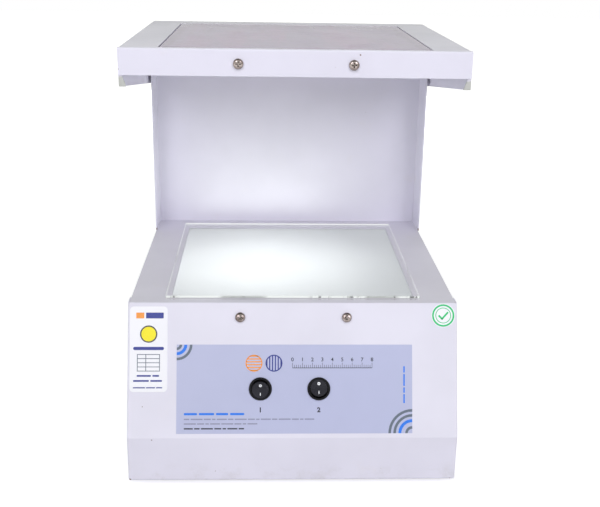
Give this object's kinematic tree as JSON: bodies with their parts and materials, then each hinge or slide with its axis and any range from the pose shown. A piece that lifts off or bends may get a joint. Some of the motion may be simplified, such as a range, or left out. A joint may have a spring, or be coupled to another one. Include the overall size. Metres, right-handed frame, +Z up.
{
  "type": "bench polariscope",
  "caption": "Bench polariscope: sloping sheet metal base with a lit glass stage and round rocker switches, a rear column and an overhanging head that holds the analyser.",
  "frame": {"origin": "centre of the footprint, on the surface the feet stand on", "axes": "+Z up, front face towards -Y, +X to the user's right when facing the front"},
  "size_m": [0.3438, 0.3733, 0.427],
  "materials": {
    "painted_sheet": "lavender white powder coat, fine texture",
    "painted_deck": "lavender grey powder coat, fine texture",
    "white_enamel": "white enamel",
    "fastener_steel": "bright zinc plate",
    "bare_steel": "plain",
    "dark_iron": "varnished laminations",
    "copper_enamel": "enamelled winding wire",
    "aluminium_can": "drawn can",
    "tinned_brass": "tinned",
    "brass_stud": "turned",
    "black_rubber": "moulded",
    "black_plastic": "fine spark texture",
    "black_gloss_plastic": "gloss",
    "white_plastic": "moulded",
    "ceramic_white": "glazed",
    "opal_plastic": "opal, lights up",
    "polariser_film": "grey violet, smooth",
    "clear_glass": "polished",
    "white_lamp_glass": "phosphor coated",
    "arc_tube_glass": "dimpled tube",
    "label_blue": "printed polyester, blue lavender",
    "label_white": "printed vinyl",
    "label_green": "printed vinyl, green ring"
  },
  "bodies": {
    "root": {"analyser_rails": "painted_sheet", "analyser_sheet": "polariser_film", "base_cabinet": "painted_sheet", "choke_coil": "copper_enamel", "choke_core": "dark_iron", "column_back_cover": "painted_sheet", "column_bolts": "fastener_steel", "column_channel": "painted_sheet", "control_label": "label_blue", "deck_plate": "painted_deck", "diffuser_sheet": "opal_plastic", "earth_stud": "brass_stud", "fascia_nuts": "fastener_steel", "fascia_screws": "fastener_steel", "floor_pan": "painted_sheet", "fluorescent_ballast": "bare_steel", "fluorescent_cap": "white_plastic", "fluorescent_clip": "white_plastic", "fluorescent_holder": "white_plastic", "fluorescent_tube": "white_lamp_glass", "foot_screws": "fastener_steel", "frame_nuts": "fastener_steel", "frame_spacers": "fastener_steel", "frame_studs": "fastener_steel", "front_panel": "painted_sheet", "front_panel_nuts": "fastener_steel", "front_panel_screws": "fastener_steel", "gear_screws": "fastener_steel", "head_back_screws": "fastener_steel", "head_bolts": "fastener_steel", "head_fascia": "painted_sheet", "head_front_bar": "painted_sheet", "head_nuts": "fastener_steel", "head_shell": "painted_sheet", "head_spacers": "fastener_steel", "ignitor_can": "aluminium_can", "inlet_nuts": "fastener_steel", "inlet_pins": "tinned_brass", "inlet_screws": "fastener_steel", "left_switch_housing": "black_plastic", "mains_inlet": "black_plastic", "pan_screws": "fastener_steel", "plain_label": "label_white", "polariser_sheet": "polariser_film", "reflector_tray": "white_enamel", "right_switch_housing": "black_plastic", "round_label": "label_green", "rubber_feet": "black_rubber", "sheet_frame": "white_enamel", "sodium_arc_tube": "arc_tube_glass", "sodium_bulb": "clear_glass", "sodium_cap": "tinned_brass", "sodium_holder": "ceramic_white", "sodium_saddle": "white_plastic", "stage_glass": "clear_glass", "switch_terminals": "tinned_brass", "terminal_block": "white_plastic"},
    "left_rocker": {"left_switch_rocker": "black_gloss_plastic"},
    "right_rocker": {"right_switch_rocker": "black_gloss_plastic"}
  },
  "joints": [
    {"name": "left_rocker_tilt", "type": "hinge", "parent": "root", "child": "left_rocker", "pos_m": [-0.033, -0.16456, 0.09767], "axis": [1, 0, 0], "range_deg": [-18, 0]},
    {"name": "right_rocker_tilt", "type": "hinge", "parent": "root", "child": "right_rocker", "pos_m": [0.0255, -0.16456, 0.09767], "axis": [1, 0, 0], "range_deg": [0, 18]}
  ]
}
